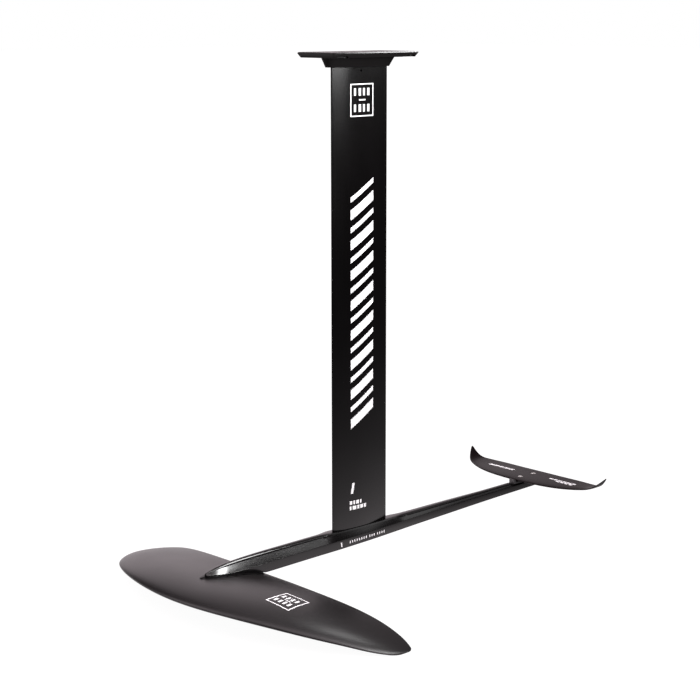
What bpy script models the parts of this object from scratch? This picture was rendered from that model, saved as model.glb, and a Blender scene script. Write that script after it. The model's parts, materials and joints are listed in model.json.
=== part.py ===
"""Hydrofoil mast wing: board plate, hollow foil-section mast, fuselage, front wing and
stabiliser, with the screws and thread inserts that hold them together.

Metres, +Z up. The origin is the centre of the plate's top face, +X points forward
(towards the front wing) and +Y to port.
"""

import math

import bmesh
import bpy
import numpy as np

# ---------------------------------------------------------------- driving sizes
GAP = 0.0003  # clearance between neighbouring pieces
MAST_DROP = 0.900  # plate top face to fuselage top

PLATE_HALF_X, PLATE_HALF_Y, PLATE_T = 0.1072, 0.0525, 0.010
PLATE_UNDERCUT = 0.005  # how far the underside is drawn in
PLATE_CHAMFER = 0.0022
SLOT_X, SLOT_Y = 0.0825, 0.045  # centres of the four track-bolt slots
SLOT_W, SLOT_L = 0.009, 0.030
COLLAR_Z = -0.0275  # bottom of the mast collar
SOCKET_Z = -0.0120  # ceiling of the mast socket

MAST_LE, MAST_TE = 0.0685, -0.0715
MAST_HALF_T, MAST_CREST = 0.0105, 0.43
MAST_TE_HALF = 0.0007
MAST_WALL, WEB_HALF = 0.0026, 0.0062
SCREW_LINE = (0.042, 0.014, -0.014, -0.036)  # x of the four screw channels
DRAIN_X, DRAIN_Z = 0.0023, -0.0340

NOSE_X, TAIL_X = 0.3740, -0.5280
SEAT_X0, SEAT_X1, SEAT_T = 0.2500, 0.3850, 0.0020

WING_HALF_SPAN = 0.3805
WING_STATIONS = (0.0, 0.2, 0.4, 0.6, 0.75, 0.87, 0.95, 1.0)
WING_LE = (0.4545, 0.4488, 0.4305, 0.3975, 0.3612, 0.3228, 0.2913, 0.2615)
WING_TE = (0.2423, 0.2417, 0.2382, 0.2277, 0.2196, 0.2174, 0.2206, 0.2266)
WING_Z_STATIONS = (0.0, 0.4, 0.75, 1.0)
WING_Z = (-0.9434, -0.9464, -0.9657, -0.9941)
WING_THICKNESS, WING_CAMBER = 0.13, 0.03
WING_SCREW_X = (0.276, 0.307, 0.338)

STAB_HALF_SPAN = 0.1884
STAB_STATIONS = (0.0, 0.3, 0.6, 0.8, 0.9, 1.0)
STAB_LE = (-0.4430, -0.4463, -0.4587, -0.4753, -0.4881, -0.5125)
STAB_TE = (-0.5339, -0.5339, -0.5322, -0.5249, -0.5207, -0.5170)
STAB_Z = (-0.8918, -0.8919, -0.8915, -0.8897, -0.8850, -0.8659)
STAB_THICKNESS = 0.085
STAB_SCREW_X = (-0.4640, -0.5045)
TAIL_SEAT_X, TAIL_SEAT_Z = -0.4300, -0.9000

for old in list(bpy.data.objects):
    bpy.data.objects.remove(old, do_unlink=True)

rig = bpy.data.objects.new("hydrofoil", None)
bpy.context.scene.collection.objects.link(rig)


# ---------------------------------------------------------------- small helpers
def material(name, colour, roughness, metallic):
    mat = bpy.data.materials.new(name)
    mat.use_nodes = True
    shader = mat.node_tree.nodes["Principled BSDF"]
    shader.inputs["Base Color"].default_value = (*colour, 1.0)
    shader.inputs["Roughness"].default_value = roughness
    shader.inputs["Metallic"].default_value = metallic
    return mat


def put(name, verts, faces, mat, location=(0, 0, 0), helper=False):
    """One mesh object. Faces are turned outwards and round parts shaded smooth."""
    mesh = bpy.data.meshes.new(name)
    mesh.from_pydata([tuple(map(float, v)) for v in verts], [], [tuple(map(int, f)) for f in faces])
    bm = bmesh.new()
    bm.from_mesh(mesh)
    bmesh.ops.remove_doubles(bm, verts=bm.verts, dist=1e-7)
    bmesh.ops.recalc_face_normals(bm, faces=bm.faces)
    bm.to_mesh(mesh)
    bm.free()
    mesh.shade_smooth()
    mesh.set_sharp_from_angle(angle=math.radians(32))
    obj = bpy.data.objects.new(name, mesh)
    bpy.context.scene.collection.objects.link(obj)
    obj.location = location
    if helper:
        obj.hide_render = True
        obj.display_type = "WIRE"
    else:
        obj.parent = rig
        mesh.materials.append(mat)
    return obj


def loft(rings):
    """Vertices and faces of a closed skin through equal closed rings, capped at both ends."""
    n = len(rings[0])
    verts = np.concatenate(rings)
    faces = []
    for r in range(len(rings) - 1):
        for i in range(n):
            j = (i + 1) % n
            faces.append((r * n + i, r * n + j, (r + 1) * n + j, (r + 1) * n + i))
    faces.append(tuple(range(n))[::-1])
    faces.append(tuple((len(rings) - 1) * n + i for i in range(n)))
    return verts, faces


def cut(target, tool, name):
    mod = target.modifiers.new(name, "BOOLEAN")
    mod.operation = "DIFFERENCE"
    mod.solver = "EXACT"
    mod.object = tool


def turned(profile, sides=14, hexagon=()):
    """Rings about the z axis from (radius, z) pairs. Rings listed in hexagon are six-sided."""
    rings = []
    for k, (radius, z) in enumerate(profile):
        a = np.arange(sides) * 2 * math.pi / sides
        r = np.full(sides, radius)
        if k in hexagon:
            r = radius / np.cos((a + math.pi / 6) % (math.pi / 3) - math.pi / 6)
        rings.append(np.stack([r * np.cos(a), r * np.sin(a), np.full(sides, z)], axis=1))
    return loft(rings)


def tool_turned(name, profile, location, sides=14):
    """A cutter turned about z; its flats, not its corners, lie at the stated radius."""
    grow = 1 / math.cos(math.pi / sides)
    verts, faces = turned([(r * grow, z) for r, z in profile], sides)
    return put(name, verts, faces, None, location, helper=True)


def spline(xs, ys, x):
    """Smooth curve through the stations, level at the first one (centre line)."""
    xs, ys = np.asarray(xs, float), np.asarray(ys, float)
    n = len(xs)
    h = np.diff(xs)
    a = np.zeros((n, n))
    rhs = np.zeros(n)
    a[0, 0], a[0, 1] = 2 * h[0], h[0]
    rhs[0] = 6 * ((ys[1] - ys[0]) / h[0])
    for i in range(1, n - 1):
        a[i, i - 1], a[i, i], a[i, i + 1] = h[i - 1], 2 * (h[i - 1] + h[i]), h[i]
        rhs[i] = 6 * ((ys[i + 1] - ys[i]) / h[i] - (ys[i] - ys[i - 1]) / h[i - 1])
    a[-1, -1], a[-1, -2] = 1, -1
    m = np.linalg.solve(a, rhs)
    x = np.clip(np.asarray(x, float), xs[0], xs[-1])
    k = np.clip(np.searchsorted(xs, x, side="right") - 1, 0, n - 2)
    t0, t1 = x - xs[k], xs[k + 1] - x
    return (m[k] * t1**3 + m[k + 1] * t0**3) / (6 * h[k]) + (ys[k] / h[k] - m[k] * h[k] / 6) * t1 + (
        ys[k + 1] / h[k] - m[k + 1] * h[k] / 6
    ) * t0


def foil(u, thickness, camber, te_half=0.0):
    """Upper and lower height of a foil section at chord fraction u, in chords."""
    half = 5 * thickness * (0.2969 * np.sqrt(u) - 0.126 * u - 0.3516 * u**2 + 0.2843 * u**3 - 0.1015 * u**4)
    half = half + te_half * u
    crest = 0.4
    mean = np.where(
        u < crest,
        camber / crest**2 * (2 * crest * u - u**2),
        camber / (1 - crest) ** 2 * (1 - 2 * crest + 2 * crest * u - u**2),
    )
    return mean + half, mean - half


# ---------------------------------------------------------------- materials
anodised = material("anodised_black", (0.020, 0.020, 0.022), 0.38, 0.6)
anodised_plate = material("anodised_plate", (0.028, 0.028, 0.030), 0.33, 0.6)
carbon_wing = material("satin_carbon", (0.045, 0.044, 0.046), 0.42, 0.0)
carbon_tail = material("satin_carbon_tail", (0.045, 0.042, 0.044), 0.40, 0.0)
gasket = material("black_pad", (0.010, 0.010, 0.011), 0.18, 0.0)
polymer = material("black_shim", (0.040, 0.040, 0.042), 0.45, 0.0)
stainless = material("stainless", (0.72, 0.71, 0.69), 0.28, 1.0)
bronze = material("insert_steel", (0.55, 0.53, 0.50), 0.35, 1.0)


# ---------------------------------------------------------------- wing surfaces
def wing_frame(s):
    """Leading edge x, chord and chord-plane height at span fraction s."""
    le = spline(WING_STATIONS, WING_LE, s)
    te = spline(WING_STATIONS, WING_TE, s)
    return le, le - te, spline(WING_Z_STATIONS, WING_Z, s)


def wing_height(x, y):
    """(upper, lower) z of the front wing at x, y."""
    s = abs(y) / WING_HALF_SPAN
    le, chord, z = wing_frame(s)
    u = np.clip((le - x) / chord, 0, 1)
    up, low = foil(u, WING_THICKNESS * (1 - 0.35 * s * s), WING_CAMBER, 0.0025)
    return float(z + chord * up), float(z + chord * low)


def span_ring(y, le, chord, z, thickness, camber, te_half, side):
    """Closed section in the plane of constant y; side = points along one surface."""
    u = (1 - np.cos(np.linspace(0, math.pi, side))) / 2
    up, low = foil(u, thickness, camber, te_half)
    x = np.concatenate([u[::-1], u[1:]])
    h = np.concatenate([up[::-1], low[1:]])
    return np.stack([le - chord * x, np.full(len(x), y), z + chord * h], axis=1)


def span_fractions(count, crowd):
    half = 1 - (1 - np.linspace(0, 1, count)) ** crowd
    return np.concatenate([-half[:0:-1], half])


rings = []
for s in span_fractions(16, 1.6):
    le, chord, z = wing_frame(abs(s))
    rings.append(
        span_ring(
            s * WING_HALF_SPAN, le, chord, z, WING_THICKNESS * (1 - 0.35 * s * s), WING_CAMBER, 0.0025 + 0.008 * abs(s) ** 3, 14
        )
    )
front_wing = put("front_wing", *loft(rings), carbon_wing)

rings = []
for s in span_fractions(14, 1.8):
    a = abs(s)
    le, te = spline(STAB_STATIONS, STAB_LE, a), spline(STAB_STATIONS, STAB_TE, a)
    z = spline(STAB_STATIONS, STAB_Z, a)
    ring = span_ring(s * STAB_HALF_SPAN, le, le - te, 0.0, STAB_THICKNESS, 0.0, 0.006 + 0.05 * a**4, 11)
    # the winglet curls up, so its thickness is laid across the rising surface
    rise = (spline(STAB_STATIONS, STAB_Z, min(a + 0.01, 1.0)) - spline(STAB_STATIONS, STAB_Z, a - 0.01)) / (
        (min(a + 0.01, 1.0) - a + 0.01) * STAB_HALF_SPAN
    ) if a > 0.01 else 0.0
    tilt = math.atan(float(rise)) * (1 if s >= 0 else -1)
    h = ring[:, 2].copy()
    ring[:, 1] -= h * math.sin(tilt)
    ring[:, 2] = z + h * math.cos(tilt)
    rings.append(ring)
stabiliser = put("stabiliser", *loft(rings), carbon_tail)


# ---------------------------------------------------------------- fuselage
def fuselage_line(x):
    """Half width, top half width, bottom, crease and top heights at x."""
    w = float(np.interp(x, (-0.53, -0.37, -0.225, -0.135, -0.07, 0, 0.06, 0.1125, 0.225, 0.30, 0.345),
                        (0.0085, 0.0090, 0.0124, 0.0146, 0.0172, 0.0188, 0.0186, 0.0169, 0.0146, 0.0132, 0.0120)))
    wt = float(np.interp(x, (-0.53, -0.37, -0.225, -0.10, -0.07, 0.07, 0.1125, 0.225, 0.345),
                         (0.0054, 0.0056, 0.0079, 0.0100, 0.0112, 0.0116, 0.0084, 0.0070, 0.0050)))
    top = float(np.interp(x, (-0.43, -0.34, -0.225, -0.12, 0.10, 0.19, 0.246, 0.304, 0.345, 0.374),
                          (-0.8965, -0.8980, -0.8988, -0.9000, -0.9000, -0.9012, -0.9022, -0.9046, -0.9090, -0.9160)))
    crease = -0.9135 - (0.031 if x > 0 else 0.024) * x
    bottom = -0.9310 - 0.036 * x
    return w, wt, bottom, crease, top


def fuselage_ring(x):
    w, wt, bottom, crease, top = fuselage_line(x)
    if x > 0.335:  # the nose closes in on a rounded end
        k = math.sqrt(max(1 - ((x - 0.335) / (NOSE_X + 0.0006 - 0.335)) ** 2, 0.0))
        w, wt = w * k, wt * k
    if x > SEAT_X0 - 1e-6:  # the belly rides on the wing pad
        bottom = max(bottom, wing_height(x, 0)[0] + SEAT_T + 2 * GAP)
    if x < TAIL_SEAT_X:
        top = min(top, TAIL_SEAT_Z + max(0.0, 0.0035 - (TAIL_SEAT_X - x)))
        crease = min(crease, top - 0.0018)
    crease = max(crease, bottom + 0.0012)
    top = max(top, crease + 0.0012)
    crease = min(crease, top - 0.0010)
    corner = min(0.0012, w * 0.3)
    half = [(w - corner, bottom), (w, bottom + min(corner, (crease - bottom) * 0.45)), (w, crease)]
    drop = (top - crease) * (0.30 if not -0.10 < x < 0.09 else 0.10)
    flat = 0.62
    half.append((wt, top - drop))
    half.append((wt * (0.5 + flat / 2), top - drop * 0.3))
    half.append((wt * flat * 0.6, top - drop * 0.02))
    points = half + [(0.0, top)] + [(-a, b) for a, b in half[::-1]]
    return np.array([(x, a, b) for a, b in points])


xs = np.concatenate([
    np.linspace(TAIL_X, -0.44, 6),
    [-0.4335, -0.4300],
    np.linspace(-0.41, -0.13, 10),
    np.linspace(-0.11, 0.11, 13),
    np.linspace(0.135, 0.24, 6),
    np.linspace(0.25, 0.335, 9),
    0.335 + (NOSE_X - 0.335) * np.sin(np.linspace(0.2, math.pi / 2, 8)),
])
fuselage = put("fuselage", *loft([fuselage_ring(float(x)) for x in xs]), anodised)


# ---------------------------------------------------------------- pad between fuselage and wing
def seat_half_width(x):
    if x > 0.325:
        return 0.0195 * math.sqrt(max(1 - ((x - 0.325) / (SEAT_X1 + 0.0002 - 0.325)) ** 2, 0.0))
    return 0.0195 - 0.0035 * ((0.325 - x) / (0.325 - SEAT_X0)) ** 2


rings = []
seat_xs = np.concatenate([xs[xs > SEAT_X0 - 1e-6], [0.3780, 0.3815, 0.3838, 0.3849]])  # shares the fuselage's stations
for x in seat_xs:
    w = seat_half_width(float(x))
    across = np.linspace(-1, 1, 7) * w
    under = [(x, y, wing_height(x, y)[0] + GAP) for y in across]
    flat_to = min(fuselage_ring(float(min(x, NOSE_X)))[:, 1].max() if x <= NOSE_X else 0.0, w)
    over = []
    for y in across[::-1]:
        edge = max(0.0, (abs(y) - flat_to) / max(w - flat_to, 1e-4))
        thick = SEAT_T * (1 - 0.55 * edge)
        base = wing_height(x, 0)[0] if abs(y) <= flat_to else wing_height(x, y)[0]
        over.append((x, y, min(base, wing_height(x, 0)[0]) + GAP + thick))
    rings.append(np.array(under + over))
wing_seat = put("wing_seat", *loft(rings), gasket)


# ---------------------------------------------------------------- mast
def mast_half(u):
    """Half thickness at chord fraction u: elliptical ahead of the crest, tapering behind it."""
    if u <= MAST_CREST:
        return MAST_HALF_T * max(1 - ((MAST_CREST - u) / MAST_CREST) ** 1.8, 0.0) ** 0.6
    k = 1 - ((u - MAST_CREST) / (1 - MAST_CREST)) ** 1.6
    return max(MAST_HALF_T * k, 0.0) * (1 - MAST_TE_HALF / MAST_HALF_T) + MAST_TE_HALF


def mast_outline(offset=0.0, count=18):
    """The section's outline in x, y, moved out by offset."""
    chord = MAST_LE - MAST_TE
    u = (1 - np.cos(np.linspace(0, math.pi, count))) / 2
    port = np.array([(MAST_LE - chord * k, mast_half(k)) for k in u])
    loop = np.concatenate([port, port[:0:-1] * (1, -1)]) if port[0, 1] == 0 else np.concatenate([port, port[::-1] * (1, -1)])
    if offset:
        nxt, prv = np.roll(loop, -1, axis=0), np.roll(loop, 1, axis=0)
        t = nxt - prv
        n = np.stack([t[:, 1], -t[:, 0]], axis=1) / np.linalg.norm(t, axis=1)[:, None]
        centre = loop.mean(axis=0)
        if ((loop - centre) * n).sum() < 0:
            n = -n
        loop = loop + n * offset
    return loop


def prism(loop, z0, z1):
    return loft([np.column_stack([loop, np.full(len(loop), z)]) for z in (z0, z1)])


MAST_TOP, MAST_FOOT = SOCKET_Z - GAP, -MAST_DROP + GAP
mast = put("mast", *prism(mast_outline(), MAST_FOOT, MAST_TOP), anodised)

edges = [MAST_LE - 0.0085] + [e for c in SCREW_LINE for e in (c + WEB_HALF, c - WEB_HALF)] + [MAST_TE + 0.020]
for k in range(0, len(edges), 2):
    front, back = edges[k], edges[k + 1]
    xs_c = np.linspace(front, back, 6)
    ys_c = np.array([mast_half((MAST_LE - x) / (MAST_LE - MAST_TE)) - MAST_WALL for x in xs_c])
    port = np.column_stack([xs_c, ys_c])
    star = np.column_stack([xs_c[::-1], -ys_c[::-1]])
    tool = put(f"mast_cavity_tool_{k // 2}", *prism(np.concatenate([port, star]), MAST_FOOT - 0.01, MAST_TOP + 0.01), None, helper=True)
    cut(mast, tool, f"cavity_{k // 2}")

drain = put("drain_tool", *turned([(0.0021, 0.0), (0.0021, 0.03)], 12), None, (DRAIN_X, 0.0, DRAIN_Z), helper=True)
drain.rotation_euler = (-math.pi / 2, 0, 0)
cut(mast, drain, "drain")


# ---------------------------------------------------------------- screws and inserts
def screw(name, x, z, up, head, shank, length, key, mat=stainless):
    """Countersunk screw. z is its head face; up is the side that the head faces."""
    r, s = head / 2, shank / 2
    profile = [
        (key / 2, -0.0026), (key / 2, 0.0), (r - 0.0002, 0.0), (r, -0.0003), (r, -0.0007),
        (s, -0.0007 - (r - s)), (s, -length + 0.0008), (s - 0.0008, -length),
    ]
    verts, faces = turned(profile, 12, hexagon=(0, 1))
    obj = put(name, verts, faces, mat, (x, 0, z))
    if not up:
        obj.rotation_euler = (math.pi, 0, 0)
    return obj


def screw_hole(target, name, x, z, up, head, shank, through):
    """Clearance hole and countersink for a screw whose head face is at z."""
    r, s = head / 2 + GAP, shank / 2 + GAP
    profile = [(s, -through), (s, -0.0010 - (r - s)), (r, -0.0010), (r, 0.004)]
    tool = tool_turned(name, profile, (x, 0, z))
    if not up:
        tool.rotation_euler = (math.pi, 0, 0)
    cut(target, tool, name)


def insert(name, x, z, up, outer, shank, length):
    """Threaded bush, drawn as a plain tube with a small collar. z is its open face."""
    ro, ri = outer / 2, shank / 2 / math.cos(math.pi / 12) + GAP
    a = np.arange(12) * math.pi / 6
    rings = [np.stack([r * np.cos(a), r * np.sin(a), np.full(12, h)], axis=1)
             for r, h in ((ro, 0.0), (ro, -length + 0.0006), (ro - 0.0005, -length), (ri, -length), (ri, 0.0))]
    verts = np.concatenate(rings)
    faces = [(r * 12 + i, r * 12 + (i + 1) % 12, (r + 1) % 5 * 12 + (i + 1) % 12, (r + 1) % 5 * 12 + i)
             for r in range(5) for i in range(12)]
    obj = put(name, verts, faces, bronze, (x, 0, z))
    if not up:
        obj.rotation_euler = (math.pi, 0, 0)
    return obj


def blind_bore(target, name, x, z, up, outer, length):
    """Bore for an insert: opens past z and ends a little beyond the insert."""
    tool = tool_turned(name, [(outer / 2 + GAP, -length - 0.0012), (outer / 2 + GAP, 0.004)], (x, 0, z))
    if not up:
        tool.rotation_euler = (math.pi, 0, 0)
    cut(target, tool, name)


M6_HEAD, M6, M6_KEY, M6_BUSH = 0.0118, 0.0060, 0.0040, 0.0086
M8_HEAD, M8, M8_KEY, M8_BUSH = 0.0150, 0.0080, 0.0050, 0.0112

# ---------------------------------------------------------------- board plate with its collar
def plate_loop(half_x, half_y, z, corner, n=4):
    pts = []
    for cx, cy, a0 in ((1, 1, 0), (-1, 1, 90), (-1, -1, 180), (1, -1, 270)):
        for k in range(n + 1):
            a = math.radians(a0 + 90 * k / n)
            pts.append((cx * (half_x - corner) + corner * math.cos(a), cy * (half_y - corner) + corner * math.sin(a), z))
    return np.array(pts)


def collar_loop(front, back, half_y, z, power, n=28):
    a = np.arange(n) * 2 * math.pi / n
    c, s = np.cos(a), np.sin(a)
    x = np.sign(c) * np.abs(c) ** (2 / power)
    y = np.sign(s) * np.abs(s) ** (2 / power)
    x = np.where(x > 0, x * front, x * -back)
    return np.column_stack([x, y * half_y, np.full(n, z)])


top_plate = put(
    "top_plate",
    *loft([
        plate_loop(PLATE_HALF_X - PLATE_UNDERCUT, PLATE_HALF_Y - PLATE_UNDERCUT, -PLATE_T, 0.005),
        plate_loop(PLATE_HALF_X, PLATE_HALF_Y, -PLATE_CHAMFER, 0.007),
        plate_loop(PLATE_HALF_X - PLATE_CHAMFER, PLATE_HALF_Y - PLATE_CHAMFER, 0.0, 0.006),
    ]),
    anodised_plate,
)
collar = put(
    "collar_body",
    *loft([
        collar_loop(0.0785, -0.0745, 0.0165, COLLAR_Z, 2.7),
        collar_loop(0.0850, -0.0840, 0.0275, -PLATE_T - 0.0008, 2.8),
        collar_loop(0.0860, -0.0850, 0.0290, -PLATE_T + 0.002, 2.8),
    ]),
    None,
    helper=True,
)
join = top_plate.modifiers.new("collar", "BOOLEAN")
join.operation = "UNION"
join.solver = "EXACT"
join.object = collar

socket = put("socket_tool", *prism(mast_outline(GAP, 18), COLLAR_Z - 0.01, SOCKET_Z), None, helper=True)
cut(top_plate, socket, "socket")

k = 0
for sx in (1, -1):
    for sy in (1, -1):
        straight = (SLOT_L - SLOT_W) / 2
        a = np.radians(np.arange(0, 181, 22.5))
        loop = np.concatenate([
            np.column_stack([straight + SLOT_W / 2 * np.sin(a), -SLOT_W / 2 * np.cos(a)]),
            np.column_stack([-straight - SLOT_W / 2 * np.sin(a), SLOT_W / 2 * np.cos(a)]),
        ])
        tool = put(f"slot_tool_{k}", *prism(loop, -PLATE_T - 0.006, 0.006), None, (sx * SLOT_X, sy * SLOT_Y, 0), helper=True)
        cut(top_plate, tool, f"slot_{k}")
        k += 1

for i, x in enumerate(SCREW_LINE, 1):
    # plate to mast, heads just under the plate's top face
    screw(f"plate_screw_{i}", x, -0.0006, True, M6_HEAD, M6, 0.0285, M6_KEY)
    screw_hole(top_plate, f"plate_hole_{i}", x, -0.0006, True, M6_HEAD, M6, 0.03)
    insert(f"mast_top_insert_{i}", x, MAST_TOP - 0.0008, True, M6_BUSH, M6, 0.016)
    blind_bore(mast, f"mast_top_bore_{i}", x, MAST_TOP - 0.0008, True, M6_BUSH, 0.019)
    # fuselage to mast, from below
    belly_z = fuselage_line(x)[2]
    screw(f"mast_screw_{i}", x, belly_z + 0.0008, False, M6_HEAD, M6, 0.050, M6_KEY)
    screw_hole(fuselage, f"mast_screw_hole_{i}", x, belly_z + 0.0008, False, M6_HEAD, M6, 0.06)
    insert(f"mast_foot_insert_{i}", x, MAST_FOOT + 0.0008, False, M6_BUSH, M6, 0.018)
    blind_bore(mast, f"mast_foot_bore_{i}", x, MAST_FOOT + 0.0008, False, M6_BUSH, 0.022)

for i, x in enumerate(WING_SCREW_X, 1):
    upper, lower = wing_height(x, 0)
    head_z = lower + 0.0012
    seat_z = max(wing_height(x + k * M8_BUSH / 2, 0)[0] for k in (-1, 0, 1)) + SEAT_T + 2 * GAP
    roof = fuselage_line(x)[4]
    bush = min(0.010, roof - seat_z - 0.0080)
    screw(f"front_wing_screw_{i}", x, head_z, False, M8_HEAD, M8, seat_z - head_z + bush, M8_KEY)
    screw_hole(front_wing, f"wing_hole_{i}", x, head_z, False, M8_HEAD, M8, 0.05)
    seat_tool = tool_turned(f"seat_hole_{i}", [(M8 / 2 + 2 * GAP, -0.02), (M8 / 2 + 2 * GAP, 0.02)], (x, 0, seat_z))
    cut(wing_seat, seat_tool, f"hole_{i}")
    insert(f"nose_insert_{i}", x, seat_z + 0.0006, False, M8_BUSH, M8, bush)
    blind_bore(fuselage, f"nose_bore_{i}", x, seat_z + 0.0006, False, M8_BUSH, bush + 0.0004)

# ---------------------------------------------------------------- tail shim and stabiliser screws
SHIM_BOTTOM = TAIL_SEAT_Z + GAP
STAB_UNDER = STAB_Z[0] - (STAB_LE[0] - STAB_TE[0]) * STAB_THICKNESS / 2
shim_top = STAB_UNDER - 0.0006
def shim_section(y):
    """Side view of the shim: a flat pad under the stabiliser and a raised stop ahead of it."""
    return np.array([
        (-0.4365, y, SHIM_BOTTOM), (-0.4365, y, -0.8900), (-0.4372, y, -0.8894), (-0.4392, y, -0.8897),
        (-0.4422, y, -0.8913 + 0.0002), (-0.4424, y, shim_top - 0.0002 + 0.0010), (-0.4450, y, shim_top), (-0.5260, y, shim_top), (-0.5260, y, SHIM_BOTTOM),
    ])


stab_shim = put("stab_shim", *loft([shim_section(-0.0066), shim_section(0.0066)]), polymer)
for i, x in enumerate(STAB_SCREW_X, 1):
    u = (STAB_LE[0] - x) / (STAB_LE[0] - STAB_TE[0])
    up = float(foil(np.array(u), STAB_THICKNESS, 0.0, 0.006)[0]) * (STAB_LE[0] - STAB_TE[0])
    face = STAB_Z[0] + up - 0.0006
    bush = 0.0085
    screw(f"stab_screw_{i}", x, face, True, M6_HEAD, M6, face - TAIL_SEAT_Z + bush, M6_KEY)
    screw_hole(stabiliser, f"stab_hole_{i}", x, face, True, M6_HEAD, M6, 0.03)
    tool = tool_turned(f"shim_hole_{i}", [(M6 / 2 + 2 * GAP, -0.02), (M6 / 2 + 2 * GAP, 0.02)], (x, 0, shim_top))
    cut(stab_shim, tool, f"hole_{i}")
    insert(f"tail_insert_{i}", x, TAIL_SEAT_Z - 0.0006, True, M6_BUSH, M6, bush)
    blind_bore(fuselage, f"tail_bore_{i}", x, TAIL_SEAT_Z - 0.0006, True, M6_BUSH, bush + 0.0004)
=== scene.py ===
import json
import math

import bmesh
import bpy
import numpy as np
from mathutils import Matrix, Vector

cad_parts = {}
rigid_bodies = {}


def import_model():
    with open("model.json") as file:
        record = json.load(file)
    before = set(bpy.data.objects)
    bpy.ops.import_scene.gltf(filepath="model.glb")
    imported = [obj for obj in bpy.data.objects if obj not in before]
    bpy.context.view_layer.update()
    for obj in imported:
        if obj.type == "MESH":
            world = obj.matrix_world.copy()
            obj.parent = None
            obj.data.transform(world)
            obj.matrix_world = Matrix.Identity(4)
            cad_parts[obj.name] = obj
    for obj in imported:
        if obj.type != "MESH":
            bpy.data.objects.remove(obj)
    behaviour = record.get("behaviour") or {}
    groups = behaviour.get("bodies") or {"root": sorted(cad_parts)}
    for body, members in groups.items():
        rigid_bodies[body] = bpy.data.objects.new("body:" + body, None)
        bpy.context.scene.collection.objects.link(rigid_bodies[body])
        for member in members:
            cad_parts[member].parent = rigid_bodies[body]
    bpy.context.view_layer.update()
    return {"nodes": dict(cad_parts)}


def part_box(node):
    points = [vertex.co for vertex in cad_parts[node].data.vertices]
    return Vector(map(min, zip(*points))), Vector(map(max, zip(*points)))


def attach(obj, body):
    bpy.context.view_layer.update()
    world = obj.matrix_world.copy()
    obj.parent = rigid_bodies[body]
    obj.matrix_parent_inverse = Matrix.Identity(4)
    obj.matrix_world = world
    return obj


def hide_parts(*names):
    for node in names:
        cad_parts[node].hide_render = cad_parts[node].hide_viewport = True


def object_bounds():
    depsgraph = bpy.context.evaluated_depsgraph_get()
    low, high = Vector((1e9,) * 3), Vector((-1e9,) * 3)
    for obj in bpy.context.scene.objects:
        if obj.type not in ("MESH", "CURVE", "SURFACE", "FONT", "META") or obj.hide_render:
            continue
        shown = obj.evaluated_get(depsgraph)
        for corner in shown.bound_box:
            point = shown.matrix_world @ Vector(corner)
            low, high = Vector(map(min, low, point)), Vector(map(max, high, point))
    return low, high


for _o in list(bpy.data.objects):
    bpy.data.objects.remove(_o, do_unlink=True)

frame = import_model()

# ------------------------------------------------------------------ camera
CAM_POS = Vector((2.21628, 2.39556, 0.07152))
YAW, PITCH, ROLL = math.radians(-132.490), math.radians(-10.906), math.radians(-0.065)
FOCAL_PX = 1755.57
cam_data = bpy.data.cameras.new("camera")
cam = bpy.data.objects.new("camera", cam_data)
bpy.context.scene.collection.objects.link(cam)
fw = Vector((math.cos(PITCH) * math.cos(YAW), math.cos(PITCH) * math.sin(YAW), math.sin(PITCH)))
right = fw.cross(Vector((0, 0, 1))).normalized()
up = right.cross(fw)
r2 = right * math.cos(ROLL) + up * math.sin(ROLL)
u2 = up * math.cos(ROLL) - right * math.sin(ROLL)
rot = Matrix((r2, u2, -fw)).transposed()
cam.matrix_world = Matrix.Translation(CAM_POS) @ rot.to_4x4()
cam_data.sensor_width = 36.0
cam_data.lens = FOCAL_PX / 700 * 36.0
cam_data.clip_start, cam_data.clip_end = 0.05, 100
bpy.context.scene.camera = cam
bpy.context.scene.view_settings.view_transform = "Standard"

# ------------------------------------------------------------------ sizes shared with the CAD
MAST_LE, MAST_TE = 0.0685, -0.0715
MAST_HALF_T, MAST_CREST, MAST_TE_HALF = 0.0105, 0.43, 0.0007
SCREW_LINE = (0.042, 0.014, -0.014, -0.036)
MAST_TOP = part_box("mast")[1].z
MAST_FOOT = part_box("mast")[0].z
DRAIN_X, DRAIN_Z = 0.0023, -0.0340
NOSE_X, TAIL_X = 0.3740, -0.5280
SEAT_X0, SEAT_X1, SEAT_T, GAP = 0.2500, 0.3850, 0.0020, 0.0003
TAIL_SEAT_X, TAIL_SEAT_Z = -0.4300, -0.9000
WING_HALF_SPAN = 0.3805
WING_STATIONS = (0.0, 0.2, 0.4, 0.6, 0.75, 0.87, 0.95, 1.0)
WING_LE = (0.4545, 0.4488, 0.4305, 0.3975, 0.3612, 0.3228, 0.2913, 0.2615)
WING_TE = (0.2423, 0.2417, 0.2382, 0.2277, 0.2196, 0.2174, 0.2206, 0.2266)
WING_Z_STATIONS = (0.0, 0.4, 0.75, 1.0)
WING_Z = (-0.9434, -0.9464, -0.9657, -0.9941)
WING_THICKNESS, WING_CAMBER = 0.13, 0.03
WING_SCREW_X = (0.276, 0.307, 0.338)
STAB_HALF_SPAN = 0.1884
STAB_STATIONS = (0.0, 0.3, 0.6, 0.8, 0.9, 1.0)
STAB_LE = (-0.4430, -0.4463, -0.4587, -0.4753, -0.4881, -0.5125)
STAB_TE = (-0.5339, -0.5339, -0.5322, -0.5249, -0.5207, -0.5170)
STAB_Z = (-0.8918, -0.8919, -0.8915, -0.8897, -0.8850, -0.8659)
STAB_THICKNESS = 0.085
STAB_SCREW_X = (-0.4640, -0.5045)


# ------------------------------------------------------------------ helpers
def smooth(a, b, x):
    t = np.clip((np.asarray(x, float) - a) / (b - a), 0, 1)
    return t * t * (3 - 2 * t)


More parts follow.
